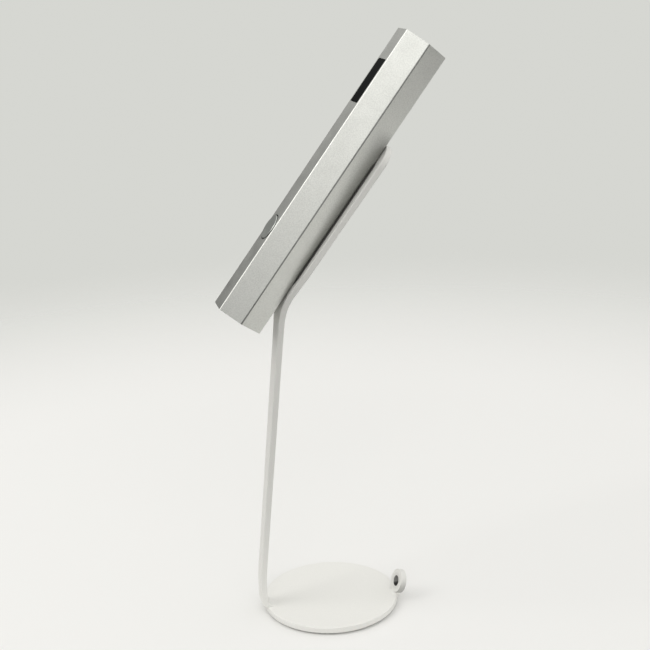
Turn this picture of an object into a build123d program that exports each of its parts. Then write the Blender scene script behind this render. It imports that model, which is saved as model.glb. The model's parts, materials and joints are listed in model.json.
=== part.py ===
from build123d import *
from math import cos, radians, sin, tan
import os

# A slim six-sided display bar that leans back on a stand bent from one piece of sheet steel.
# The origin is on the table under the centre of the round base. +Z is up, the reader sits on the
# -Y side, and the arm and the bar lean back towards +Y. All sizes are in millimetres.

# ---- Driving dimensions ----

# Stand
SHEET = 3.3
BASE_PAD_THICKNESS = 1.0
BASE_PAD_MARGIN = 2.0
BASE_RADIUS = 37.1
ARM_FOOT_Y = -39.9
ARM_UPRIGHT_HEIGHT = 20.0
ARM_LEAN = 6.3
ARM_BEND_HEIGHT = 175.6
ARM_TIP_LENGTH = 97.4
FOOT_HALF_WIDTH = 4.6
TIP_HALF_WIDTH = 13.7
TIP_RADIUS = 11.0
FOOT_BEND_RADIUS = 8.0
LEAN_BEND_RADIUS = 60.0
ARM_BEND_RADIUS = 35.0
EDGE_SOFTNESS = 0.5

# Half the arm's width at heights along the upper arm's plane: a slim stem that flares above the bend
ARM_FLARE = ((4.7, -90.0), (5.7, -43.0), (7.7, -2.0), (10.9, 15.0), (12.2, 42.0))

# Cable eye on the base's rim: where it stands round the rim, which way it faces, how far it leans
EYE_ANGLE = 12.5
EYE_FACING = -5.0
EYE_LEAN = 18.0
EYE_RADIUS = 6.6
EYE_HOLE_RADIUS = 2.9
EYE_CENTRE_HEIGHT = 9.1
EYE_NECK_WIDTH = 6.0
EYE_BEND_RADIUS = 5.5
EYE_ROOT = 9.0

# Bar: a hexagon that is as deep as it is wide, with narrow front and back flats
BAR_TILT = 37.2
BAR_LENGTH = 167.0
BAR_DEPTH = 25.0
BAR_WIDTH = 25.0
FLAT_WIDTH = 15.0
WALL = 1.6
CORNER_RADIUS = 0.85
INNER_CORNER_RADIUS = 0.4
BAR_ABOVE_BEND = 65.5

# Screw channels and end caps
CHANNEL_X = 8.7
CHANNEL_RADIUS = 2.2
CHANNEL_BORE = 1.04
CAP_THICKNESS = 2.5
CAP_GAP = 0.08
CAP_SCREW_LENGTH = 9.0
CAP_SCREW_HEAD_RADIUS = 1.75
CAP_SCREW_HEAD_HEIGHT = 0.8
CAP_SCREW_RADIUS = 1.0
DRIVER_SLOT_LENGTH = 2.4
DRIVER_SLOT_WIDTH = 0.5
DRIVER_SLOT_DEPTH = 0.9
COUNTERSINK_ANGLE = 90

# Mounting of the bar on the arm
MOUNTING_PAD_THICKNESS = 0.6
PAD_WIDTH = 16.6
PAD_END_MARGIN = 18.0
MOUNT_SCREW_HEIGHTS = (-38.0, 8.0)
MOUNT_SCREW_RADIUS = 1.5
MOUNT_SCREW_HEAD_RADIUS = 3.0
MOUNT_SCREW_LENGTH = 8.0
HEX_KEY_RADIUS = 1.15
HEX_KEY_DEPTH = 1.3
NUT_PLATE_THICKNESS = 2.6
NUT_PLATE_WIDTH = 11.0
NUT_PLATE_END = 8.0
NUT_PLATE_CORNER = 1.5

# Window
WINDOW_HEIGHT = 53.0
WINDOW_LENGTH = 25.6
WINDOW_WIDTH = 12.5
WINDOW_CORNER = 0.8
WINDOW_GAP = 0.06
WINDOW_LIP = 2.0
WINDOW_LIP_THICKNESS = 0.8
ADHESIVE_THICKNESS = 0.2

# Display
PANEL_LENGTH = 30.0
PANEL_WIDTH = 11.5
PANEL_THICKNESS = 1.2
FRAME_LENGTH = 33.0
FRAME_WIDTH = 13.2
FRAME_OPENING_LENGTH = 26.0
FRAME_OPENING_WIDTH = 8.0
FRAME_CORNER = 1.0
RIBBON_THICKNESS = 0.15
RIBBON_WIDTH = 8.0
RIBBON_REACH = 6.0
RIBBON_OVERLAP = 4.0
RIBBON_LOOP_TOP = 4.0
RIBBON_LOOP_END = 2.6
RIBBON_BEND = 0.6
DISPLAY_PLUG_WIDTH = 10.0
DISPLAY_PLUG_LENGTH = 4.0

# Main board and its parts
BOARD_FRONT = -5.8
BOARD_THICKNESS = 1.2
BOARD_WIDTH = 16.0
BOARD_CORNER = 1.0
BOARD_BOTTOM = -80.6
BOARD_TOP = 80.0
BOARD_SCREW_HEIGHTS = (-66.0, -12.0, 77.0)
BOARD_SCREW_RADIUS = 0.9
BOARD_SCREW_HEAD_RADIUS = 1.8
BOARD_SCREW_HEAD_HEIGHT = 1.2
BOARD_SCREW_LENGTH = 4.0
CONNECTOR_DEPTH = 1.6

# Width, length and height along the bar of each chip
BOARD_CHIPS = ((7.0, 7.0, 4.0), (5.0, 6.0, -22.0), (3.0, 3.0, -48.0), (4.0, 5.0, -74.0))
CHIP_THICKNESS = 0.9
SHIELD_HEIGHT = 16.0
SHIELD_WIDTH = 11.0
SHIELD_LENGTH = 13.0
SHIELD_DEPTH = 2.0
SHIELD_WALL = 0.2
SHIELD_CORNER = 0.5
BATTERY_PLUG_HEIGHT = 14.0
BATTERY_PLUG_WIDTH = 6.0
BATTERY_PLUG_LENGTH = 4.0
PLUG_PIN_X = 1.5
PLUG_OPENING_WIDTH = 8.0
PLUG_OPENING_MARGIN = 0.6

# Chassis and cell
CHASSIS_THICKNESS = 1.0
CHASSIS_WIDTH = 15.0
CHASSIS_CORNER = 1.0
CHASSIS_BOSS_RADIUS = 2.2
CHASSIS_BOSS_DEPTH = 3.0
CELL_RADIUS = 7.0
CELL_LENGTH = 50.0
CELL_BOTTOM = 24.0
CELL_DEPTH = 3.8
CRADLE_HALF_WIDTH = 4.4
CELL_EDGE = 0.6
CRADLE_INSET = 6.0
CRADLE_THICKNESS = 2.0
LEAD_RADIUS = 0.55
LEAD_BEND = 0.9
LEAD_CLEARANCE = 1.0
LEAD_RISE = 3.5
LEAD_RUN_X = 5.6
LEAD_RUN_DEPTH = -2.4

# Charging socket
PORT_WIDTH = 8.9
PORT_THICKNESS = 3.2
PORT_WALL = 0.3
PORT_LENGTH = 7.3
PORT_MOUTH = -82.4
PORT_GAP = 0.15
PORT_CLEARANCE = 1.0
TONGUE_WIDTH = 6.7
TONGUE_THICKNESS = 0.7
TONGUE_RECESS = 0.8

# Button and switch
BUTTON_HEIGHT = -35.1
BUTTON_HOLE_RADIUS = 7.05
BUTTON_RADIUS = 6.68
BUTTON_PROUD = 0.55
BUTTON_CHAMFER = 0.25
BUTTON_TRAVEL = 0.4
BUTTON_EAR_LENGTH = 19.0
BUTTON_EAR_WIDTH = 11.6
BUTTON_EAR_THICKNESS = 0.9
BUTTON_EAR_CORNER = 1.0
BUTTON_STEM_RADIUS = 1.75
SWITCH_WIDTH = 6.0
SWITCH_BODY_THICKNESS = 2.1
SWITCH_COVER_THICKNESS = 0.3
SWITCH_WELL_RADIUS = 2.4
PLUNGER_RADIUS = 1.7
PLUNGER_FLANGE_RADIUS = 2.2
PLUNGER_FLANGE_THICKNESS = 0.4
PLUNGER_PROUD = 0.9
DOME_THICKNESS = 0.1
DOME_RISE = 0.2

# Play between neighbours that touch on the real object
PLAY = 0.04

os.makedirs("parts", exist_ok=True)


# ---- Planes of the leaning bar ----

sheet_bottom = BASE_PAD_THICKNESS
bend_z = sheet_bottom + ARM_BEND_HEIGHT
bend_y = ARM_FOOT_Y + (ARM_BEND_HEIGHT - ARM_UPRIGHT_HEIGHT) * tan(radians(ARM_LEAN))
tilt = radians(BAR_TILT)
up_the_bar = Vector(0, sin(tilt), cos(tilt))
to_the_front = Vector(0, -cos(tilt), sin(tilt))

# The upper arm's front face: +X across, +Y up the arm, +Z out to the front
arm_face = Plane(origin=(0, bend_y, bend_z), x_dir=(1, 0, 0), z_dir=to_the_front)

# The bar's own frame: +X across, +Y to its back face, +Z up the bar, origin at its middle
bar_middle = arm_face.from_local_coords((0, BAR_ABOVE_BEND, MOUNTING_PAD_THICKNESS + BAR_DEPTH / 2))
bar = Plane(origin=bar_middle, x_dir=(1, 0, 0), z_dir=up_the_bar)

front_face = -BAR_DEPTH / 2
back_face = BAR_DEPTH / 2
inner_front = front_face + WALL
inner_back = back_face - WALL


def across(height):
    """Plane square to the bar at a height along it, with +Y towards the back face."""
    return bar.offset(height)


def facing(depth, height=0.0):
    """Plane parallel to the front face at a depth in the bar, looking out to the front, +Y up it."""
    return Plane(origin=bar.from_local_coords((0, depth, height)), x_dir=(1, 0, 0), z_dir=to_the_front)


def save(part, name):
    """Label a finished piece and write it as its own file."""
    part.label = name
    export_step(part, f"parts/{name}.step")


def block(depth, thickness, width, bottom, top):
    """A plain block in the bar: from a depth, thickness deep, between two heights."""
    with BuildPart() as piece:
        with BuildSketch(facing(depth, (bottom + top) / 2)):
            Rectangle(width, top - bottom)
        extrude(amount=-thickness)
    return piece.part


# ---- Stand: base disc, tapered arm and cable eye, cut and bent from one sheet ----

foot = arm_face.to_local_coords(Vector(0, ARM_FOOT_Y, sheet_bottom))
foot_end = foot.Y - FOOT_BEND_RADIUS
tip_shoulder = ARM_TIP_LENGTH - TIP_RADIUS
arm_tip = arm_face.from_local_coords((0, ARM_TIP_LENGTH + TIP_RADIUS, 0))

with BuildPart() as arm:
    with BuildSketch(Plane.YZ):
        with BuildLine():
            FilletPolyline(
                (-BASE_RADIUS / 2, sheet_bottom),
                (ARM_FOOT_Y, sheet_bottom),
                (ARM_FOOT_Y, sheet_bottom + ARM_UPRIGHT_HEIGHT),
                (bend_y, bend_z),
                (arm_tip.Y, arm_tip.Z),
                radius=(FOOT_BEND_RADIUS, LEAN_BEND_RADIUS, ARM_BEND_RADIUS),
            )
            offset(amount=SHEET, side=Side.RIGHT)
        make_face()
    extrude(amount=2 * TIP_HALF_WIDTH, both=True)
    with BuildSketch(arm_face):
        with BuildLine():
            flank = Spline(
                (FOOT_HALF_WIDTH, foot_end),
                *ARM_FLARE,
                (TIP_HALF_WIDTH, tip_shoulder),
                tangents=((0, 1), (0, 1)),
            )
            corner = CenterArc((TIP_HALF_WIDTH - TIP_RADIUS, tip_shoulder), TIP_RADIUS, 0, 90)
            Line(corner @ 1, (0, ARM_TIP_LENGTH))
            Line(flank @ 0, (0, foot_end))
            mirror(about=Plane.YZ)
        make_face()
    extrude(amount=BAR_LENGTH, both=True, mode=Mode.INTERSECT)
    fillet(arm.edges(), EDGE_SOFTNESS)

# The eye's own directions: +X the way it faces, +Y up, from where it stands on the rim
eye_angle = radians(EYE_ANGLE)
eye_facing = radians(EYE_FACING)
eye_lean = radians(EYE_LEAN)
eye_out = Vector(sin(eye_facing), cos(eye_facing), 0)
eye_side = Plane(
    origin=(BASE_RADIUS * sin(eye_angle), BASE_RADIUS * cos(eye_angle), 0),
    x_dir=eye_out,
    z_dir=eye_out.cross(Vector(0, 0, 1)),
)
eye_top = 2 * (EYE_CENTRE_HEIGHT + EYE_RADIUS)
eye_face = Plane(
    origin=eye_side.from_local_coords((0, sheet_bottom, 0)),
    x_dir=-eye_side.z_dir,
    z_dir=eye_out * cos(eye_lean) - Vector(0, 0, sin(eye_lean)),
)

with BuildPart() as eye:
    with BuildSketch(eye_side):
        with BuildLine():
            FilletPolyline(
                (-EYE_ROOT, sheet_bottom),
                (0, sheet_bottom),
                (eye_top * sin(eye_lean), sheet_bottom + eye_top * cos(eye_lean)),
                radius=EYE_BEND_RADIUS,
            )
            offset(amount=SHEET, side=Side.LEFT)
        make_face()
    extrude(amount=EYE_RADIUS, both=True)
    with BuildSketch(eye_face):
        with Locations((0, EYE_CENTRE_HEIGHT)):
            Circle(EYE_RADIUS)
        with Locations((0, EYE_CENTRE_HEIGHT - BASE_RADIUS / 2)):
            Rectangle(EYE_NECK_WIDTH, BASE_RADIUS)
    extrude(amount=BASE_RADIUS, both=True, mode=Mode.INTERSECT)
    fillet(eye.edges(), EDGE_SOFTNESS)
    with BuildSketch(eye_face):
        with Locations((0, EYE_CENTRE_HEIGHT)):
            Circle(EYE_HOLE_RADIUS)
    extrude(amount=-2 * SHEET, mode=Mode.SUBTRACT)

# The screws sit at the same heights on the arm's back as in the bar
mount_heights_on_arm = [height + BAR_ABOVE_BEND for height in MOUNT_SCREW_HEIGHTS]
rear_of_arm = Plane(
    origin=arm_face.from_local_coords((0, 0, -SHEET)), x_dir=(-1, 0, 0), z_dir=-to_the_front
)

with BuildPart() as stand:
    with BuildSketch(Plane.XY.offset(sheet_bottom)):
        Circle(BASE_RADIUS)
    extrude(amount=SHEET)
    fillet(stand.edges(), EDGE_SOFTNESS)
    add(arm.part)
    add(eye.part)

    # Clearance holes for the two screws that hold the bar, countersunk from behind
    with Locations(*[rear_of_arm * Pos(0, height, 0) for height in mount_heights_on_arm]):
        CounterSinkHole(
            radius=MOUNT_SCREW_RADIUS + CAP_GAP,
            counter_sink_radius=MOUNT_SCREW_HEAD_RADIUS + CAP_GAP,
            depth=SHEET,
            counter_sink_angle=COUNTERSINK_ANGLE,
        )
save(stand.part, "stand")


# ---- Bar section ----

half_flat = FLAT_WIDTH / 2
half_depth = BAR_DEPTH / 2
half_width = BAR_WIDTH / 2
HEXAGON = (
    (half_flat, -half_depth),
    (half_width, 0),
    (half_flat, half_depth),
    (-half_flat, half_depth),
    (-half_width, 0),
    (-half_flat, -half_depth),
)


def hexagon(inset, corner_radius):
    """The bar's six-sided section with every side moved in, and its corners rounded."""
    with BuildSketch() as section:
        Polygon(*HEXAGON, align=None)
        if inset:
            offset(amount=-inset, kind=Kind.INTERSECTION)
        fillet(section.vertices(), corner_radius)
    return section.sketch


outer_section = hexagon(0, CORNER_RADIUS)
inner_section = hexagon(WALL, INNER_CORNER_RADIUS)
cap_section = hexagon(WALL + CAP_GAP, INNER_CORNER_RADIUS)

bar_bottom = -BAR_LENGTH / 2
bar_top = BAR_LENGTH / 2
channel_length = BAR_LENGTH - 2 * CAP_THICKNESS
channel_centres = ((-CHANNEL_X, 0), (CHANNEL_X, 0))


# ---- Housing tube: extrusion with two screw channels, window opening and button hole ----

with BuildPart() as housing_tube:
    with BuildSketch(across(bar_bottom)):
        add(outer_section)
        add(inner_section, mode=Mode.SUBTRACT)
    extrude(amount=BAR_LENGTH)
    with BuildSketch(across(bar_bottom + CAP_THICKNESS)):
        with Locations(*channel_centres):
            Circle(CHANNEL_RADIUS)
        add(outer_section, mode=Mode.INTERSECT)
    extrude(amount=channel_length)
    with BuildSketch(across(bar_bottom)):
        with Locations(*channel_centres):
            Circle(CHANNEL_BORE)
    extrude(amount=BAR_LENGTH, mode=Mode.SUBTRACT)
    with BuildSketch(facing(front_face, WINDOW_HEIGHT)):
        RectangleRounded(WINDOW_WIDTH, WINDOW_LENGTH, WINDOW_CORNER)
    extrude(amount=-WALL, mode=Mode.SUBTRACT)
    with BuildSketch(facing(front_face, BUTTON_HEIGHT)):
        Circle(BUTTON_HOLE_RADIUS)
    extrude(amount=-2 * WALL, mode=Mode.SUBTRACT)
    with BuildSketch(facing(inner_back)):
        with Locations(*[(0, height) for height in MOUNT_SCREW_HEIGHTS]):
            Circle(MOUNT_SCREW_RADIUS + CAP_GAP)
    extrude(amount=-WALL, mode=Mode.SUBTRACT)
save(housing_tube.part, "housing_tube")


# ---- Soft pads: under the base, and between the arm and the bar ----

with BuildPart() as base_pad:
    with BuildSketch():
        Circle(BASE_RADIUS - BASE_PAD_MARGIN)
    extrude(amount=BASE_PAD_THICKNESS - PLAY)
save(base_pad.part, "base_pad")

pad_length = MOUNT_SCREW_HEIGHTS[1] - MOUNT_SCREW_HEIGHTS[0] + 2 * PAD_END_MARGIN
with BuildPart() as mounting_pad:
    with BuildSketch(facing(back_face + PLAY, sum(MOUNT_SCREW_HEIGHTS) / 2)):
        RectangleRounded(PAD_WIDTH, pad_length, PAD_WIDTH / 2 - PLAY)
    extrude(amount=-(MOUNTING_PAD_THICKNESS - 2 * PLAY))
    with BuildSketch(facing(back_face)):
        with Locations(*[(0, height) for height in MOUNT_SCREW_HEIGHTS]):
            Circle(MOUNT_SCREW_RADIUS + CAP_GAP)
    extrude(amount=-MOUNTING_PAD_THICKNESS, mode=Mode.SUBTRACT)
save(mounting_pad.part, "mounting_pad")


# ---- Mounting screws and the threaded plate they pull against ----

arm_back = back_face + MOUNTING_PAD_THICKNESS + SHEET

with BuildPart() as mounting_screws:
    for height in MOUNT_SCREW_HEIGHTS:
        with BuildSketch(facing(arm_back, height)):
            Circle(MOUNT_SCREW_RADIUS)
        extrude(amount=MOUNT_SCREW_LENGTH)
        with BuildSketch(facing(arm_back, height)):
            Circle(MOUNT_SCREW_HEAD_RADIUS)
        extrude(amount=MOUNT_SCREW_HEAD_RADIUS - MOUNT_SCREW_RADIUS, taper=COUNTERSINK_ANGLE / 2)
        with BuildSketch(facing(arm_back, height)):
            RegularPolygon(HEX_KEY_RADIUS, 6)
        extrude(amount=HEX_KEY_DEPTH, mode=Mode.SUBTRACT)
save(mounting_screws.part, "mounting_screws")

plate_bottom = MOUNT_SCREW_HEIGHTS[0] - NUT_PLATE_END
plate_top = MOUNT_SCREW_HEIGHTS[1] + NUT_PLATE_END
with BuildPart() as nut_plate:
    with BuildSketch(facing(inner_back - PLAY, (plate_bottom + plate_top) / 2)):
        RectangleRounded(NUT_PLATE_WIDTH, plate_top - plate_bottom, NUT_PLATE_CORNER)
    extrude(amount=NUT_PLATE_THICKNESS)
    with BuildSketch(facing(inner_back)):
        with Locations(*[(0, height) for height in MOUNT_SCREW_HEIGHTS]):
            Circle(MOUNT_SCREW_RADIUS + PLAY)
    extrude(amount=2 * NUT_PLATE_THICKNESS, mode=Mode.SUBTRACT)
save(nut_plate.part, "nut_plate")


# ---- End caps, flush with the tube's ends, and their screws ----

port_depth = BOARD_FRONT + BOARD_THICKNESS + PORT_THICKNESS / 2 + PLAY
port_opening = (PORT_WIDTH + 2 * PORT_GAP, PORT_THICKNESS + 2 * PORT_GAP)


def end_cap(height, outward):
    """A cap that fills the end of the tube, with two countersunk screw holes."""
    with BuildPart() as cap:
        with BuildSketch(across(height)):
            add(cap_section)
        extrude(amount=-outward * CAP_THICKNESS)
        for centre in channel_centres:
            with BuildSketch(across(height)):
                with Locations(centre):
                    Circle(CAP_SCREW_RADIUS + CAP_GAP)
            extrude(amount=-outward * CAP_THICKNESS, mode=Mode.SUBTRACT)
            with BuildSketch(across(height)):
                with Locations(centre):
                    Circle(CAP_SCREW_HEAD_RADIUS + CAP_GAP)
            extrude(
                amount=-outward * CAP_SCREW_HEAD_HEIGHT,
                taper=COUNTERSINK_ANGLE / 2,
                mode=Mode.SUBTRACT,
            )
    return cap.part


cone_height = (CAP_SCREW_HEAD_RADIUS - CAP_SCREW_RADIUS) / tan(radians(COUNTERSINK_ANGLE / 2))


def cap_screws(height, outward):
    """Two countersunk self-tapping screws that run into the screw channels."""
    with BuildPart() as screws:
        for centre in channel_centres:
            with BuildSketch(across(height - outward * PLAY)):
                with Locations(centre):
                    Circle(CAP_SCREW_RADIUS)
            extrude(amount=-outward * CAP_SCREW_LENGTH)
            with BuildSketch(across(height - outward * PLAY)):
                with Locations(centre):
                    Circle(CAP_SCREW_HEAD_RADIUS)
            extrude(amount=-outward * cone_height, taper=COUNTERSINK_ANGLE / 2)
            with BuildSketch(across(height)):
                with Locations(centre):
                    Rectangle(DRIVER_SLOT_LENGTH, DRIVER_SLOT_WIDTH)
                    Rectangle(DRIVER_SLOT_WIDTH, DRIVER_SLOT_LENGTH)
            extrude(amount=-outward * DRIVER_SLOT_DEPTH, mode=Mode.SUBTRACT)
    return screws.part


save(end_cap(bar_top, 1), "top_cap")
save(cap_screws(bar_top, 1), "top_cap_screws")
save(cap_screws(bar_bottom, -1), "bottom_cap_screws")

with BuildPart() as bottom_cap:
    add(end_cap(bar_bottom, -1))
    with BuildSketch(across(bar_bottom)):
        with Locations((0, port_depth)):
            SlotOverall(*port_opening)
    extrude(amount=CAP_THICKNESS, mode=Mode.SUBTRACT)
save(bottom_cap.part, "bottom_cap")


# ---- Window: tinted lens with a lip at each end, stuck to the wall from inside ----

lens_width = WINDOW_WIDTH - 2 * WINDOW_GAP
lens_length = WINDOW_LENGTH - 2 * WINDOW_GAP
lip_length = WINDOW_LENGTH + 2 * WINDOW_LIP
lip_front = inner_front + ADHESIVE_THICKNESS
lens_back = lip_front + WINDOW_LIP_THICKNESS

with BuildPart() as display_window:
    with BuildSketch(facing(front_face + PLAY, WINDOW_HEIGHT)):
        RectangleRounded(lens_width, lens_length, WINDOW_CORNER)
    extrude(amount=-(WALL + ADHESIVE_THICKNESS))
    with BuildSketch(facing(lip_front, WINDOW_HEIGHT)):
        RectangleRounded(lens_width, lip_length, WINDOW_CORNER)
    extrude(amount=-WINDOW_LIP_THICKNESS)
save(display_window.part, "display_window")

with BuildPart() as window_adhesive:
    with BuildSketch(facing(inner_front + PLAY / 2, WINDOW_HEIGHT)):
        Rectangle(lens_width, lip_length)
        Rectangle(lens_width, WINDOW_LENGTH + WINDOW_LIP / 2, mode=Mode.SUBTRACT)
    extrude(amount=-(ADHESIVE_THICKNESS - PLAY))
save(window_adhesive.part, "window_adhesive")


# ---- Display: glass panel on a frame, ribbon and connector ----

panel_front = lens_back + PLAY
panel_back = panel_front + PANEL_THICKNESS
panel_bottom = WINDOW_HEIGHT - PANEL_LENGTH / 2
frame_front = panel_back + RIBBON_THICKNESS + 2 * PLAY
board_back = BOARD_FRONT + BOARD_THICKNESS

display_panel = block(
    panel_front, PANEL_THICKNESS, PANEL_WIDTH, panel_bottom, panel_bottom + PANEL_LENGTH
)
save(display_panel, "display_panel")

with BuildPart() as display_frame:
    with BuildSketch(facing(frame_front, WINDOW_HEIGHT)):
        RectangleRounded(FRAME_WIDTH, FRAME_LENGTH, FRAME_CORNER)
        RectangleRounded(
            FRAME_OPENING_WIDTH, FRAME_OPENING_LENGTH, FRAME_CORNER, mode=Mode.SUBTRACT
        )
    extrude(amount=-(BOARD_FRONT - PLAY - frame_front))
save(display_frame.part, "display_frame")

connector_top = panel_bottom - RIBBON_REACH
display_connector = block(
    BOARD_FRONT - PLAY - CONNECTOR_DEPTH,
    CONNECTOR_DEPTH,
    DISPLAY_PLUG_WIDTH,
    connector_top - DISPLAY_PLUG_LENGTH,
    connector_top,
)
save(display_connector, "display_connector")

# The ribbon leaves the panel's back, hangs over the frame's end and drops to the connector's mouth
ribbon_side = Plane(origin=bar.origin, x_dir=-to_the_front, z_dir=bar.x_dir)
ribbon_depth = panel_back + PLAY
mouth_depth = BOARD_FRONT - PLAY - CONNECTOR_DEPTH / 2
with BuildPart() as display_ribbon:
    with BuildSketch(ribbon_side):
        with BuildLine():
            FilletPolyline(
                (ribbon_depth, panel_bottom + RIBBON_OVERLAP),
                (ribbon_depth, connector_top + RIBBON_LOOP_TOP),
                (mouth_depth, connector_top + RIBBON_LOOP_END),
                (mouth_depth, connector_top + PLAY),
                radius=RIBBON_BEND,
            )
            offset(amount=RIBBON_THICKNESS, side=Side.LEFT)
        make_face()
    extrude(amount=RIBBON_WIDTH / 2, both=True)
save(display_ribbon.part, "display_ribbon")


# ---- Main board with its chips, shield, connectors and charging socket ----

with BuildPart() as main_board:
    with BuildSketch(facing(BOARD_FRONT, (BOARD_BOTTOM + BOARD_TOP) / 2)):
        RectangleRounded(BOARD_WIDTH, BOARD_TOP - BOARD_BOTTOM, BOARD_CORNER)
    extrude(amount=-BOARD_THICKNESS)
    with BuildSketch(facing(BOARD_FRONT)):
        with Locations(*[(0, height) for height in BOARD_SCREW_HEIGHTS]):
            Circle(BOARD_SCREW_RADIUS + CAP_GAP)
    extrude(amount=-BOARD_THICKNESS, mode=Mode.SUBTRACT)
save(main_board.part, "main_board")

with BuildPart() as board_chips:
    for width, length, height in BOARD_CHIPS:
        with BuildSketch(facing(BOARD_FRONT - PLAY, height)):
            Rectangle(width, length)
        extrude(amount=CHIP_THICKNESS)
save(board_chips.part, "board_chips")

with BuildPart() as radio_shield:
    with BuildSketch(facing(BOARD_FRONT - PLAY, SHIELD_HEIGHT)):
        RectangleRounded(SHIELD_WIDTH, SHIELD_LENGTH, SHIELD_CORNER)
    extrude(amount=SHIELD_DEPTH)
    with BuildSketch(facing(BOARD_FRONT, SHIELD_HEIGHT)):
        Rectangle(SHIELD_WIDTH - 2 * SHIELD_WALL, SHIELD_LENGTH - 2 * SHIELD_WALL)
    extrude(amount=SHIELD_DEPTH - SHIELD_WALL, mode=Mode.SUBTRACT)
save(radio_shield.part, "radio_shield")

with BuildPart() as board_screws:
    for height in BOARD_SCREW_HEIGHTS:
        with BuildSketch(facing(BOARD_FRONT - PLAY, height)):
            Circle(BOARD_SCREW_RADIUS)
        extrude(amount=-BOARD_SCREW_LENGTH)
        with BuildSketch(facing(BOARD_FRONT - PLAY, height)):
            Circle(BOARD_SCREW_HEAD_RADIUS)
        extrude(amount=BOARD_SCREW_HEAD_HEIGHT)
save(board_screws.part, "board_screws")

with BuildPart() as charge_port_shell:
    with BuildSketch(across(PORT_MOUTH)):
        with Locations((0, port_depth)):
            SlotOverall(PORT_WIDTH, PORT_THICKNESS)
    extrude(amount=PORT_LENGTH)
    with BuildSketch(across(PORT_MOUTH)):
        with Locations((0, port_depth)):
            SlotOverall(PORT_WIDTH - 2 * PORT_WALL, PORT_THICKNESS - 2 * PORT_WALL)
    extrude(amount=PORT_LENGTH - PORT_WALL, mode=Mode.SUBTRACT)
save(charge_port_shell.part, "charge_port_shell")

with BuildPart() as charge_port_tongue:
    with BuildSketch(across(PORT_MOUTH + TONGUE_RECESS)):
        with Locations((0, port_depth)):
            Rectangle(TONGUE_WIDTH, TONGUE_THICKNESS)
    extrude(amount=PORT_LENGTH - TONGUE_RECESS - PORT_WALL - PLAY)
save(charge_port_tongue.part, "charge_port_tongue")


# ---- Chassis: tray with board bosses and cradle ribs, and the cell that lies in it ----

chassis_front = board_back + PLAY
chassis_back = chassis_front + CHASSIS_THICKNESS
chassis_bottom = bar_bottom + CAP_THICKNESS + PLAY
chassis_top = bar_top - CAP_THICKNESS - PLAY
port_end = PORT_MOUTH + PORT_LENGTH + PORT_CLEARANCE
plug_bottom = BATTERY_PLUG_HEIGHT - BATTERY_PLUG_LENGTH / 2
plug_top = BATTERY_PLUG_HEIGHT + BATTERY_PLUG_LENGTH / 2

with BuildPart() as chassis:
    with BuildSketch(facing(chassis_front, (chassis_bottom + chassis_top) / 2)):
        RectangleRounded(CHASSIS_WIDTH, chassis_top - chassis_bottom, CHASSIS_CORNER)
    extrude(amount=-CHASSIS_THICKNESS)
    with BuildSketch(facing(chassis_front)):
        with Locations(*[(0, height) for height in BOARD_SCREW_HEIGHTS]):
            Circle(CHASSIS_BOSS_RADIUS)
    extrude(amount=-CHASSIS_BOSS_DEPTH)
    for height in (CELL_BOTTOM + CRADLE_INSET, CELL_BOTTOM + CELL_LENGTH - CRADLE_INSET):
        with BuildSketch(across(height)):
            with Locations((0, (chassis_front + CELL_DEPTH) / 2)):
                Rectangle(2 * CRADLE_HALF_WIDTH, CELL_DEPTH - chassis_front)
        extrude(amount=CRADLE_THICKNESS / 2, both=True)
    with BuildSketch(across(CELL_BOTTOM - PLAY)):
        with Locations((0, CELL_DEPTH)):
            Circle(CELL_RADIUS + PLAY)
    extrude(amount=CELL_LENGTH + 2 * PLAY, mode=Mode.SUBTRACT)
    with BuildSketch(facing(chassis_front)):
        with Locations(*[(0, height) for height in BOARD_SCREW_HEIGHTS]):
            Circle(BOARD_SCREW_RADIUS + PLAY)
        with Locations((0, (port_end + chassis_bottom) / 2)):
            Rectangle(PORT_WIDTH + PORT_CLEARANCE, port_end - chassis_bottom)
        with Locations((0, (plug_bottom + CELL_BOTTOM) / 2 - PLUG_OPENING_MARGIN)):
            Rectangle(PLUG_OPENING_WIDTH, CELL_BOTTOM - plug_bottom)
    extrude(amount=-CHASSIS_BOSS_DEPTH, mode=Mode.SUBTRACT)
save(chassis.part, "chassis")

with BuildPart() as battery_cell:
    with BuildSketch(across(CELL_BOTTOM)):
        with Locations((0, CELL_DEPTH)):
            Circle(CELL_RADIUS)
    extrude(amount=CELL_LENGTH)
    fillet(battery_cell.edges(), CELL_EDGE)
save(battery_cell.part, "battery_cell")

battery_connector = block(
    board_back + PLAY,
    CONNECTOR_DEPTH,
    BATTERY_PLUG_WIDTH,
    plug_bottom,
    plug_top,
)
save(battery_connector, "battery_connector")

# One lead from each end of the cell to the plug; the longer one runs beside the cell
plug_depth = board_back + PLAY + CONNECTOR_DEPTH / 2
lead_start = plug_top + PLAY
near_end = CELL_BOTTOM - LEAD_RADIUS - LEAD_CLEARANCE
far_end = CELL_BOTTOM + CELL_LENGTH + LEAD_RADIUS + LEAD_CLEARANCE
near_route = (
    (-PLUG_PIN_X, plug_depth, lead_start),
    (-PLUG_PIN_X, plug_depth, near_end),
    (-PLUG_PIN_X, CELL_DEPTH, near_end),
    (0, CELL_DEPTH, near_end),
    (0, CELL_DEPTH, CELL_BOTTOM - PLAY),
)
far_route = (
    (PLUG_PIN_X, plug_depth, lead_start),
    (PLUG_PIN_X, plug_depth, lead_start + LEAD_RISE),
    (LEAD_RUN_X, LEAD_RUN_DEPTH, lead_start + LEAD_RISE),
    (LEAD_RUN_X, LEAD_RUN_DEPTH, far_end),
    (0, CELL_DEPTH, far_end),
    (0, CELL_DEPTH, CELL_BOTTOM + CELL_LENGTH + PLAY),
)


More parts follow.
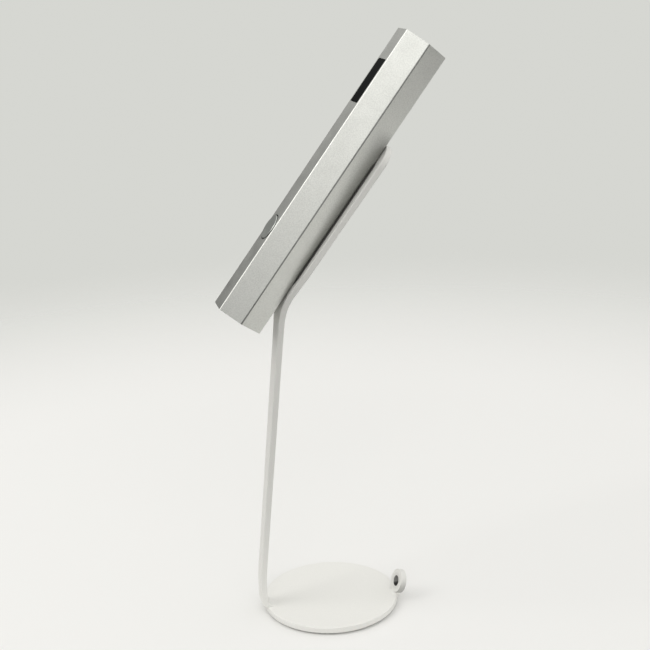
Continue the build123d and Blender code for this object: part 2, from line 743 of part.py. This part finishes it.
def lead(route):
    """A round insulated wire along a route given in the bar's own frame."""
    with BuildPart() as wire:
        with BuildLine(bar) as path:
            FilletPolyline(*route, radius=LEAD_BEND)
        with BuildSketch(across(lead_start)):
            with Locations(route[0][:2]):
                Circle(LEAD_RADIUS)
        sweep(path=path.wire())
    return wire.part


leads = [lead(near_route), lead(far_route)]
with BuildPart() as battery_leads:
    add(leads)
save(battery_leads.part, "battery_leads")


# ---- Push button: cap held behind the wall by two ears, and the switch under its stem ----

switch_back = BOARD_FRONT - PLAY
switch_front = switch_back - SWITCH_BODY_THICKNESS
cover_front = switch_front - SWITCH_COVER_THICKNESS
plunger_front = cover_front - PLUNGER_PROUD
flange_front = switch_front + PLAY
ear_front = inner_front + PLAY
button_front = front_face - BUTTON_PROUD
press_axis = Axis(facing(0, BUTTON_HEIGHT).origin, to_the_front)
well_depth = BUTTON_TRAVEL + PLUNGER_FLANGE_THICKNESS + DOME_RISE + DOME_THICKNESS + 2 * PLAY

with BuildPart() as button_cap:
    with BuildSketch(facing(button_front, BUTTON_HEIGHT)):
        Circle(BUTTON_RADIUS)
    extrude(amount=button_front - ear_front)
    chamfer(button_cap.faces().sort_by(press_axis)[-1].edges(), BUTTON_CHAMFER)
    with BuildSketch(facing(ear_front, BUTTON_HEIGHT)):
        RectangleRounded(BUTTON_EAR_WIDTH, BUTTON_EAR_LENGTH, BUTTON_EAR_CORNER)
    extrude(amount=-BUTTON_EAR_THICKNESS)
    with BuildSketch(facing(ear_front, BUTTON_HEIGHT)):
        Circle(BUTTON_STEM_RADIUS)
    extrude(amount=-(plunger_front - PLAY - ear_front))
save(button_cap.part, "button_cap")

with BuildPart() as switch_body:
    with BuildSketch(facing(switch_back, BUTTON_HEIGHT)):
        Rectangle(SWITCH_WIDTH, SWITCH_WIDTH)
    extrude(amount=SWITCH_BODY_THICKNESS)
    with BuildSketch(facing(switch_front, BUTTON_HEIGHT)):
        Circle(SWITCH_WELL_RADIUS)
    extrude(amount=-well_depth, mode=Mode.SUBTRACT)
save(switch_body.part, "switch_body")

with BuildPart() as switch_cover:
    with BuildSketch(facing(switch_front, BUTTON_HEIGHT)):
        Rectangle(SWITCH_WIDTH, SWITCH_WIDTH)
        Circle(PLUNGER_RADIUS + PLAY, mode=Mode.SUBTRACT)
    extrude(amount=SWITCH_COVER_THICKNESS)
save(switch_cover.part, "switch_cover")

with BuildPart() as switch_plunger:
    with BuildSketch(facing(plunger_front, BUTTON_HEIGHT)):
        Circle(PLUNGER_RADIUS)
    extrude(amount=-(flange_front - plunger_front))
    with BuildSketch(facing(flange_front, BUTTON_HEIGHT)):
        Circle(PLUNGER_FLANGE_RADIUS)
    extrude(amount=-PLUNGER_FLANGE_THICKNESS)
save(switch_plunger.part, "switch_plunger")

# The snap dome is drawn pressed flat, so that the plunger's travel stays free above it
well_floor = switch_front + well_depth
with BuildPart() as switch_dome:
    with BuildSketch(across(BUTTON_HEIGHT)):
        with BuildLine():
            crown = ThreePointArc(
                (-PLUNGER_FLANGE_RADIUS, well_floor - PLAY),
                (0, well_floor - DOME_RISE),
                (PLUNGER_FLANGE_RADIUS, well_floor - PLAY),
            )
            offset(amount=DOME_THICKNESS, side=Side.RIGHT)
        make_face()
        with Locations((-PLUNGER_FLANGE_RADIUS, well_floor)):
            Rectangle(2 * PLUNGER_FLANGE_RADIUS, 2 * PLUNGER_FLANGE_RADIUS, mode=Mode.SUBTRACT)
    revolve(axis=press_axis)
save(switch_dome.part, "switch_dome")
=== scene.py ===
import json
import math

import bpy
from mathutils import Matrix, Vector


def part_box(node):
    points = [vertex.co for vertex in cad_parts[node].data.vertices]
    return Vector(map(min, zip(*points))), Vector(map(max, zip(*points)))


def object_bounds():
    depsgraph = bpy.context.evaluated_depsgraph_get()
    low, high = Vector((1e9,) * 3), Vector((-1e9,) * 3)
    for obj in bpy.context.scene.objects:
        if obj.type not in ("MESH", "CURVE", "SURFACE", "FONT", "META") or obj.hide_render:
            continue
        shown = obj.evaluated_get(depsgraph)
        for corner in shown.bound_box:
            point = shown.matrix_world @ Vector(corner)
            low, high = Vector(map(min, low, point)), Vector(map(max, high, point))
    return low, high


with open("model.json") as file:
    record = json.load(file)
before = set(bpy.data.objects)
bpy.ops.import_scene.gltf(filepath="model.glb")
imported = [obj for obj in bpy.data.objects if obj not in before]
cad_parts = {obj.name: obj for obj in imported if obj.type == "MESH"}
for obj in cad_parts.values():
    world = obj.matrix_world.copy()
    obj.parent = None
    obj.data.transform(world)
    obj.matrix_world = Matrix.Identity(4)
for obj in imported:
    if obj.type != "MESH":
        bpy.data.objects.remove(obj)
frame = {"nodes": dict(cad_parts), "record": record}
cad_low, cad_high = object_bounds()
middle = (cad_low + cad_high) / 2
nodes = frame["nodes"]
mounts = {mount["name"]: mount for mount in frame["record"]["mounts"]}
MM = 0.001

# ---- Camera ----
CAMERA_AZIMUTH = 76.93
CAMERA_ELEVATION = 16.94
CAMERA_ROLL = -2.02
CAMERA_DISTANCE = 0.6395
CAMERA_LENS = 67.6
CAMERA_NEAR = 0.01
SENSOR_WIDTH = 36.0
AIM_FROM_MIDDLE = Vector((0.0, -0.0043, 0.0061))

# ---- Studio ----
# A pair is where a value starts and stops changing. In the room it is a part of the view direction,
# and on the floor it is a place in metres.
FLOOR_RADIUS = 0.90
FLOOR_SIDES = 96
FLOOR_FADE = (0.34, 0.85)
FLOOR_COLOUR = (0.82, 0.818, 0.805)
FLOOR_SHADE = 0.95
FLOOR_SHADE_START = (0.03, 0.15)
FLOOR_SHADE_END = (0.02, 0.15)
BACKDROP_COLOUR = (0.672, 0.678, 0.643)
ROOM_COLOUR = (1.0, 0.995, 0.975)
ROOM_LIGHT = 0.03
CEILING_LIGHT = 0.88
CEILING_START = (0.09, 0.62)
WALL_LIGHT = 0.95
WALL_START = (0.25, 0.95)
FRONT_LIGHT = 0.27
FRONT_START = (-0.45, -0.95)
WALL_FOOT = (-0.4, -0.05)
WALL_TOP = (0.1, 0.6)
WINDOW_LIGHT = 1.5
WINDOW_START = (0.88, 0.97)
WINDOW_DIRECTION = (0.863, -0.075, 0.5)
KEY_COLOUR = (1.0, 0.985, 0.96)
KEY_AZIMUTH = 2
KEY_ELEVATION = 41
KEY_DISTANCE = 2.5
KEY_WIDTH = 1.3
KEY_POWER = 14.8

# ---- Finishes ----
NOISE_MIDDLE = (0.3, 0.7)
COAT_COLOUR = (0.785, 0.782, 0.751)
ANODISED_COLOUR = (0.74, 0.748, 0.715)
BUTTON_COLOUR = (0.60, 0.62, 0.59)
STEEL_COLOUR = (0.56, 0.55, 0.53)

# ---- Shades painted in the finishes: 1 leaves the colour as it is ----
# Painted shade in the cable eye's bore, round the bore and on the eye's rim.
# The eye's places are in radii of its bore, from the middle of the bore.
BORE_SHADES = (0.02, 0.35)
BORE_HEIGHTS = (-0.75, -0.3)
BORE_EDGE = (1.0, 1.05)
EYE_SHADE = 0.9
EYE_SHADE_END = (1.3, 1.9)
EYE_RIM_SHADES = (0.58, 0.92)
EYE_RIM_HEIGHTS = (-0.8, 1.6)
EYE_RIM_EDGE = (2.1, 2.25)
EYE_FOOT = (-1.9, -1.3)
EYE_SLAB = (0.6, 1.0)
# Painted shade along the bar's two side edges.
SIDE_EDGE_SHADE = 0.5
SIDE_EDGE = (0.14 * MM, 0.07 * MM)
# Painted shade on the bar beside the arm.
ARM_SHADE = 0.54
ARM_SHADE_WIDTHS = (3.5 * MM, 13 * MM)
ARM_PAST_PAD = 12 * MM
ARM_SHADE_END = (8 * MM, -1 * MM)
# Painted shade in the button's hole and on its edge.
RING_SHADE = 0.12
RING_EDGE = (0.45 * MM, 0.8 * MM)
RING_DEPTH = (-6 * MM, -4 * MM)


# ---- Helpers ----

def direction(azimuth, elevation):
    """The way from the object to a place, in degrees round from its front and up from level."""
    turn, rise = math.radians(azimuth), math.radians(elevation)
    return Vector((math.sin(turn) * math.cos(rise), -math.cos(turn) * math.cos(rise), math.sin(rise)))


def ramp(tree, value, start, end, low, high):
    """A value eased from low to high between start and end."""
    node = tree.nodes.new("ShaderNodeMapRange")
    node.interpolation_type = "SMOOTHSTEP"
    for name, number in (("From Min", start), ("From Max", end), ("To Min", low), ("To Max", high)):
        node.inputs[name].default_value = number
    tree.links.new(value, node.inputs["Value"])
    return node.outputs["Result"]


def arithmetic(tree, operation, first, second=0.0):
    """A value, two values, or a value and a number, put through one operation."""
    node = tree.nodes.new("ShaderNodeMath")
    node.operation = operation
    for slot, value in enumerate((first, second)):
        if isinstance(value, (int, float)):
            node.inputs[slot].default_value = value
        else:
            tree.links.new(value, node.inputs[slot])
    return node.outputs["Value"]


def vector_math(tree, operation, first, second=None):
    """A vector, or a vector and a constant, put through one operation."""
    node = tree.nodes.new("ShaderNodeVectorMath")
    node.operation = operation
    tree.links.new(first, node.inputs[0])
    if second is not None:
        node.inputs[1].default_value = second
    return node.outputs["Value" if operation in ("LENGTH", "DOT_PRODUCT") else "Vector"]


def split_vector(tree, vector):
    """A vector's X, Y and Z."""
    node = tree.nodes.new("ShaderNodeSeparateXYZ")
    tree.links.new(vector, node.inputs["Vector"])
    return node.outputs


def mix_shaders(tree, share, first, second=None):
    """The first shader, giving way as the share grows to the second, or to black."""
    node = tree.nodes.new("ShaderNodeMixShader")
    tree.links.new(share, node.inputs["Fac"])
    tree.links.new(first, node.inputs[1])
    if second:
        tree.links.new(second, node.inputs[2])
    return node.outputs["Shader"]


def camera_rays(tree):
    """1 for what the camera sees directly, and 0 for reflections and bounced light."""
    return tree.nodes.new("ShaderNodeLightPath").outputs["Is Camera Ray"]


class Finish:
    """A procedural material under construction: a Principled shader and what feeds it."""

    def __init__(self, name, colour, metallic, roughness):
        self.material = bpy.data.materials.new(name)
        self.material.use_nodes = True
        self.tree = self.material.node_tree
        self.shader = self.tree.nodes["Principled BSDF"]
        self.shader.inputs["Base Color"].default_value = (*colour, 1.0)
        self.shader.inputs["Metallic"].default_value = metallic
        self.shader.inputs["Roughness"].default_value = roughness
        self.colour = colour
        self.place = self.tree.nodes.new("ShaderNodeTexCoord").outputs["Object"]
        self.normal = None

    def link(self, source, target):
        self.tree.links.new(source, target)

    def noise(self, size, detail=2.0, stretch=None):
        """Noise with grains of a size in metres, drawn out along X, Y and Z by stretch."""
        place = self.place
        if stretch:
            mapping = self.tree.nodes.new("ShaderNodeMapping")
            mapping.inputs["Scale"].default_value = stretch
            self.link(place, mapping.inputs["Vector"])
            place = mapping.outputs["Vector"]
        node = self.tree.nodes.new("ShaderNodeTexNoise")
        node.inputs["Scale"].default_value = 1.0 / size
        node.inputs["Detail"].default_value = detail
        self.link(place, node.inputs["Vector"])
        return node.outputs["Fac"]

    def spread(self, source, low, high):
        """The middle of a noise's range, spread from low to high."""
        node = self.tree.nodes.new("ShaderNodeMapRange")
        spans = zip(("From Min", "From Max", "To Min", "To Max"), (*NOISE_MIDDLE, low, high))
        for name, number in spans:
            node.inputs[name].default_value = number
        self.link(source, node.inputs["Value"])
        return node.outputs["Result"]

    def rough(self, source, low, high):
        self.link(self.spread(source, low, high), self.shader.inputs["Roughness"])

    def tint(self, source, low, high, shade=None):
        """Base colour, darker and lighter with a noise by the factors low and high, and by a shade."""
        node = self.tree.nodes.new("ShaderNodeVectorMath")
        node.operation = "SCALE"
        node.inputs[0].default_value = self.colour
        scale = self.spread(source, low, high)
        if shade:
            scale = arithmetic(self.tree, "MULTIPLY", scale, shade)
        self.link(scale, node.inputs["Scale"])
        self.link(node.outputs["Vector"], self.shader.inputs["Base Color"])

    def bump(self, source, depth):
        """Relief of a depth in metres, added to the relief already there."""
        node = self.tree.nodes.new("ShaderNodeBump")
        node.inputs["Distance"].default_value = depth
        node.inputs["Strength"].default_value = 1.0
        self.link(source, node.inputs["Height"])
        if self.normal:
            self.link(self.normal, node.inputs["Normal"])
        self.normal = node.outputs["Normal"]
        self.link(self.normal, self.shader.inputs["Normal"])


# ---- Finishes of the visible pieces ----

def eye_shade(finish, mount):
    """How bright a coat stays: painted shade in a bored mount, darkest low in the bore, light painted
    shade round the bore, and painted shade on its eye's rim, darker lower down.
    """
    tree = finish.tree
    radius = mount["dims"]["r_mm"] * MM
    length = mount["dims"]["length_mm"] * MM
    away = vector_math(tree, "SUBTRACT", finish.place, mount["pos_m"])
    off_axis = vector_math(tree, "LENGTH", vector_math(tree, "CROSS_PRODUCT", away, mount["axis"]))
    off_axis = arithmetic(tree, "DIVIDE", off_axis, radius)
    along = arithmetic(tree, "ABSOLUTE", vector_math(tree, "DOT_PRODUCT", away, mount["axis"]))
    along = arithmetic(tree, "DIVIDE", along, length)
    up = arithmetic(tree, "DIVIDE", vector_math(tree, "DOT_PRODUCT", away, (0.0, 0.0, 1.0)), radius)
    bore = ramp(tree, up, *BORE_HEIGHTS, *BORE_SHADES)
    bore = arithmetic(tree, "MAXIMUM", bore, ramp(tree, off_axis, *BORE_EDGE, 0.0, 1.0))
    ring = ramp(tree, off_axis, *EYE_SHADE_END, EYE_SHADE, 1.0)
    rim = ramp(tree, up, *EYE_RIM_HEIGHTS, *EYE_RIM_SHADES)
    rim = arithmetic(tree, "MAXIMUM", rim, ramp(tree, off_axis, *EYE_RIM_EDGE, 1.0, 0.0))
    eye = arithmetic(tree, "MULTIPLY", arithmetic(tree, "MULTIPLY", bore, ring), rim)
    below = ramp(tree, up, *EYE_FOOT, 1.0, 0.0)
    beside = ramp(tree, along, *EYE_SLAB, 0.0, 1.0)
    return arithmetic(tree, "MAXIMUM", eye, arithmetic(tree, "MAXIMUM", below, beside))


def powder_coat():
    """White epoxy powder: soft orange peel with a fine pigment speckle, and painted shade in and round
    the cable eye's bore.
    """
    finish = Finish("powder_coat", COAT_COLOUR, 0.0, 0.5)
    peel = finish.noise(1.1 * MM, detail=1.5)
    speckle = finish.noise(0.35 * MM, detail=3.0)
    finish.tint(speckle, 0.965, 1.02, shade=eye_shade(finish, mounts["cable_eye"]))
    finish.rough(peel, 0.44, 0.58)
    finish.bump(peel, 0.03 * MM)
    finish.bump(speckle, 0.01 * MM)
    finish.shader.inputs["Specular IOR Level"].default_value = 0.4
    return finish.material


def side_edge_shade(finish):
    """How bright a finish stays: darker on the bar's two side edges, a painted shade standing in for
    the dark reflection along them.
    """
    tree = finish.tree
    from_middle = arithmetic(tree, "ABSOLUTE", split_vector(tree, finish.place)["X"])
    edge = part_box("housing_tube")[1].x
    start, end = (edge - inside for inside in SIDE_EDGE)
    return ramp(tree, from_middle, start, end, 1.0, SIDE_EDGE_SHADE)


def bar_axes():
    """The directions up the bar and from its back to its front, by the pad that lies along it."""
    low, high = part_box("mounting_pad")
    up_bar = Vector((0.0, high.y - low.y, high.z - low.z)).normalized()
    return up_bar, Vector((0.0, -up_bar.z, up_bar.y))


def arm_shade(finish):
    """How bright a finish stays: a painted shade beside the arm, where the arm shades the bar, in a
    band that widens up the bar.
    """
    tree = finish.tree
    low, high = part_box("mounting_pad")
    up_bar, into_bar = bar_axes()
    reach = math.hypot(high.y - low.y, high.z - low.z) / 2 + ARM_PAST_PAD
    away = vector_math(tree, "SUBTRACT", finish.place, (low + high) / 2)
    height = vector_math(tree, "DOT_PRODUCT", away, up_bar)
    depth = vector_math(tree, "DOT_PRODUCT", away, into_bar)
    width = ramp(tree, height, -reach, reach, *ARM_SHADE_WIDTHS)
    band = ramp(tree, arithmetic(tree, "DIVIDE", depth, width), 0.0, 1.0, ARM_SHADE, 1.0)
    shortfall = arithmetic(tree, "SUBTRACT", 1.0, band)
    start, end = (reach - inside for inside in ARM_SHADE_END)
    past_arm = ramp(tree, arithmetic(tree, "ABSOLUTE", height), start, end, 0.0, 1.0)
    return arithmetic(tree, "ADD", band, arithmetic(tree, "MULTIPLY", past_arm, shortfall))


def ring_shade(finish):
    """How bright a finish stays: painted shade in the button's hole and on the hole's edge."""
    tree = finish.tree
    low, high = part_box("button_cap")
    into_bar = bar_axes()[1]
    away = vector_math(tree, "SUBTRACT", finish.place, (low + high) / 2)
    off_axis = vector_math(tree, "LENGTH", vector_math(tree, "CROSS_PRODUCT", away, into_bar))
    depth = vector_math(tree, "DOT_PRODUCT", away, into_bar)
    start, end = ((high.x - low.x) / 2 + outside for outside in RING_EDGE)
    ring = ramp(tree, off_axis, start, end, RING_SHADE, 1.0)
    return arithmetic(tree, "MAXIMUM", ring, ramp(tree, depth, *RING_DEPTH, 1.0, 0.0))


def blasted_anodising(name, colour, shades=()):
    """Bead-blasted aluminium under a clear anodic film: a fine sparkling grain, and painted shades."""
    finish = Finish(name, colour, 1.0, 0.42)
    grain = finish.noise(0.55 * MM, detail=3.0)
    sparkle = finish.noise(0.2 * MM, detail=2.0)
    cloud = finish.noise(9 * MM, detail=2.0)
    shade = 1.0
    for painted in shades:
        shade = arithmetic(finish.tree, "MULTIPLY", painted(finish), shade)
    finish.tint(grain, 0.90, 1.08, shade=shade)
    finish.rough(cloud, 0.40, 0.45)
    finish.bump(sparkle, 0.012 * MM)
    return finish.material


def tinted_window():
    """Polished black acrylic with the faintest unevenness and a trace of dust."""
    finish = Finish("tinted_window", (0.0015, 0.0022, 0.002), 0.0, 0.06)
    dust = finish.noise(0.5 * MM, detail=4.0)
    wave = finish.noise(14 * MM)
    finish.tint(dust, 0.8, 1.6)
    finish.rough(dust, 0.05, 0.11)
    finish.bump(wave, 0.01 * MM)
    finish.shader.inputs["Specular IOR Level"].default_value = 0.03
    return finish.material


def soft_foam(name, colour, cell):
    """Closed-cell rubber or foam: dull, with an open grain."""
    finish = Finish(name, colour, 0.0, 0.9)
    grain = finish.noise(cell, detail=3.0)
    finish.tint(grain, 0.7, 1.35)
    finish.rough(grain, 0.82, 0.97)
    finish.bump(grain, 0.05 * MM)
    return finish.material


def turned_steel(name, colour, roughness):
    """Plated steel with fine tool marks and cloudy plating."""
    finish = Finish(name, colour, 1.0, roughness)
    marks = finish.noise(0.15 * MM, detail=2.0)
    cloud = finish.noise(2.5 * MM)
    finish.tint(cloud, 0.88, 1.06)
    finish.rough(cloud, roughness - 0.06, roughness + 0.08)
    finish.bump(marks, 0.006 * MM)
    return finish.material


def moulded(name, colour, roughness=0.5):
    """Moulded plastic with a fine spark-eroded texture."""
    finish = Finish(name, colour, 0.0, roughness)
    texture = finish.noise(0.3 * MM, detail=2.0)
    cloud = finish.noise(6 * MM)
    finish.tint(cloud, 0.94, 1.05)
    finish.rough(texture, roughness - 0.06, roughness + 0.08)
    finish.bump(texture, 0.012 * MM)
    return finish.material


def board_laminate():
    """Green solder mask over a faint weave, with the copper's relief as a bump."""
    finish = Finish("board_laminate", (0.012, 0.11, 0.045), 0.0, 0.32)
    weave = finish.noise(0.5 * MM, stretch=(1.0, 0.2, 0.2))
    copper = finish.noise(3.0 * MM, detail=0.0, stretch=(1.0, 0.4, 0.4))
    finish.tint(copper, 0.7, 1.35)
    finish.rough(weave, 0.28, 0.4)
    finish.bump(copper, 0.03 * MM)
    return finish.material


def finishes():
    """Every CAD node's material, by the node's name."""
    bar_shades = (side_edge_shade, arm_shade, ring_shade)
    anodised = blasted_anodising("anodised_silver", ANODISED_COLOUR, bar_shades)
    screw = turned_steel("screw_steel", STEEL_COLOUR, 0.32)
    sheet_metal = turned_steel("tinned_steel", (0.62, 0.61, 0.57), 0.36)
    black_plastic = moulded("black_plastic", (0.02, 0.02, 0.021))
    natural_plastic = moulded("natural_plastic", (0.62, 0.58, 0.47), 0.45)
    return {
        "stand": powder_coat(),
        "base_pad": soft_foam("base_rubber", (0.03, 0.03, 0.03), 0.6 * MM),
        "mounting_pad": soft_foam("pad_foam", (0.085, 0.084, 0.08), 0.3 * MM),
        "housing_tube": anodised,
        "top_cap": anodised,
        "bottom_cap": anodised,
        "button_cap": blasted_anodising("anodised_button", BUTTON_COLOUR),
        "display_window": tinted_window(),
        "mounting_screws": screw,
        "top_cap_screws": screw,
        "bottom_cap_screws": screw,
        "board_screws": screw,
        "nut_plate": turned_steel("plate_steel", (0.45, 0.44, 0.43), 0.45),
        "window_adhesive": soft_foam("adhesive_film", (0.02, 0.02, 0.02), 0.4 * MM),
        "display_panel": moulded("panel_glass", (0.015, 0.017, 0.022), 0.15),
        "display_frame": black_plastic,
        "chassis": black_plastic,
        "charge_port_tongue": black_plastic,
        "switch_body": black_plastic,
        "display_ribbon": moulded("ribbon_film", (0.42, 0.19, 0.04), 0.35),
        "display_connector": natural_plastic,
        "battery_connector": natural_plastic,
        "switch_plunger": natural_plastic,
        "main_board": board_laminate(),
        "board_chips": moulded("chip_package", (0.018, 0.018, 0.019), 0.55),
        "radio_shield": sheet_metal,
        "charge_port_shell": sheet_metal,
        "switch_cover": sheet_metal,
        "switch_dome": sheet_metal,
        "battery_cell": moulded("cell_sleeve", (0.03, 0.09, 0.22), 0.3),
        "battery_leads": moulded("lead_insulation", (0.36, 0.015, 0.012), 0.5),
    }


def dress(node, material):
    """Give a CAD node its finish."""
    node.data.materials.clear()
    node.data.materials.append(material)


# ---- Studio ----

def build_world():
    """A pale backdrop for the camera, and for light a room: ceiling, far wall and a bright window."""
    world = bpy.data.worlds.new("studio")
    world.use_nodes = True
    bpy.context.scene.world = world
    tree = world.node_tree
    tree.nodes.clear()
    view = tree.nodes.new("ShaderNodeTexCoord").outputs["Generated"]
    _, along, height = split_vector(tree, view)
    ceiling = ramp(tree, height, *CEILING_START, 0.0, CEILING_LIGHT)
    wall = ramp(tree, along, *WALL_START, 0.0, WALL_LIGHT)
    wall = arithmetic(tree, "ADD", wall, ramp(tree, along, *FRONT_START, 0.0, FRONT_LIGHT))
    wall = arithmetic(tree, "MULTIPLY", wall, ramp(tree, height, *WALL_FOOT, 0.0, 1.0))
    wall = arithmetic(tree, "MULTIPLY", wall, ramp(tree, height, *WALL_TOP, 1.0, 0.0))
    toward_window = vector_math(tree, "DOT_PRODUCT", view, WINDOW_DIRECTION)
    window = ramp(tree, toward_window, *WINDOW_START, 0.0, WINDOW_LIGHT)
    room = arithmetic(tree, "ADD", arithmetic(tree, "ADD", ceiling, wall), window)
    backgrounds = []
    for colour in (ROOM_COLOUR, BACKDROP_COLOUR):
        background = tree.nodes.new("ShaderNodeBackground")
        background.inputs["Color"].default_value = (*colour, 1.0)
        backgrounds.append(background)
    tree.links.new(arithmetic(tree, "ADD", room, ROOM_LIGHT), backgrounds[0].inputs["Strength"])
    seen = mix_shaders(tree, camera_rays(tree), *(node.outputs["Background"] for node in backgrounds))
    output = tree.nodes.new("ShaderNodeOutputWorld")
    tree.links.new(seen, output.inputs["Surface"])


def build_floor():
    """A round pale table top whose rim melts into the backdrop, with less bounce beside the object."""
    turns = [2 * math.pi * i / FLOOR_SIDES for i in range(FLOOR_SIDES)]
    rim = [(FLOOR_RADIUS * math.cos(turn), FLOOR_RADIUS * math.sin(turn), 0.0) for turn in turns]
    mesh = bpy.data.meshes.new("floor")
    mesh.from_pydata(rim, [], [tuple(range(FLOOR_SIDES))])
    floor = bpy.data.objects.new("floor", mesh)
    bpy.context.scene.collection.objects.link(floor)
    finish = Finish("table_paper", FLOOR_COLOUR, 0.0, 0.75)
    fibre = finish.noise(0.6 * MM, detail=3.0)
    finish.tint(fibre, 0.992, 1.006)
    finish.rough(fibre, 0.72, 0.82)
    finish.bump(fibre, 0.004 * MM)
    tree = finish.tree
    place = split_vector(tree, finish.place)
    beyond = ramp(tree, place["X"], *FLOOR_SHADE_START, 0.0, FLOOR_SHADE)
    beside = ramp(tree, place["Y"], *FLOOR_SHADE_END, 1.0, 0.0)
    unseen = arithmetic(tree, "SUBTRACT", 1.0, camera_rays(tree))
    dark = arithmetic(tree, "MULTIPLY", arithmetic(tree, "MULTIPLY", beyond, beside), unseen)
    dimmed = mix_shaders(tree, dark, finish.shader.outputs["BSDF"])
    fade = ramp(tree, vector_math(tree, "LENGTH", finish.place), *FLOOR_FADE, 0.0, 1.0)
    clear = tree.nodes.new("ShaderNodeBsdfTransparent")
    melted = mix_shaders(tree, fade, dimmed, clear.outputs["BSDF"])
    tree.links.new(melted, tree.nodes["Material Output"].inputs["Surface"])
    mesh.materials.append(finish.material)


def build_key_light():
    """A square softbox in front of the object, aimed at its middle."""
    light = bpy.data.lights.new("key", "AREA")
    light.shape = "SQUARE"
    light.size = KEY_WIDTH
    light.energy = KEY_POWER
    light.color = KEY_COLOUR
    lamp = bpy.data.objects.new("key", light)
    away = direction(KEY_AZIMUTH, KEY_ELEVATION)
    lamp.location = middle + away * KEY_DISTANCE
    lamp.rotation_mode = "QUATERNION"
    lamp.rotation_quaternion = (-away).to_track_quat("-Z", "Y")
    bpy.context.scene.collection.objects.link(lamp)


def build_camera():
    """The camera, aimed near the middle of the object and rolled a little."""
    camera = bpy.data.objects.new("camera", bpy.data.cameras.new("camera"))
    camera.data.lens = CAMERA_LENS
    camera.data.sensor_width = SENSOR_WIDTH
    camera.data.clip_start = CAMERA_NEAR
    away = direction(CAMERA_AZIMUTH, CAMERA_ELEVATION)
    place = Matrix.Translation(middle + AIM_FROM_MIDDLE + away * CAMERA_DISTANCE)
    turn = (-away).to_track_quat("-Z", "Y").to_matrix().to_4x4()
    roll = Matrix.Rotation(math.radians(CAMERA_ROLL), 4, "Z")
    camera.matrix_world = place @ turn @ roll
    bpy.context.scene.collection.objects.link(camera)
    bpy.context.scene.camera = camera


for node_name, node_material in finishes().items():
    dress(nodes[node_name], node_material)

build_world()
build_floor()
build_key_light()
build_camera()

bpy.context.scene.view_settings.view_transform = "Standard"
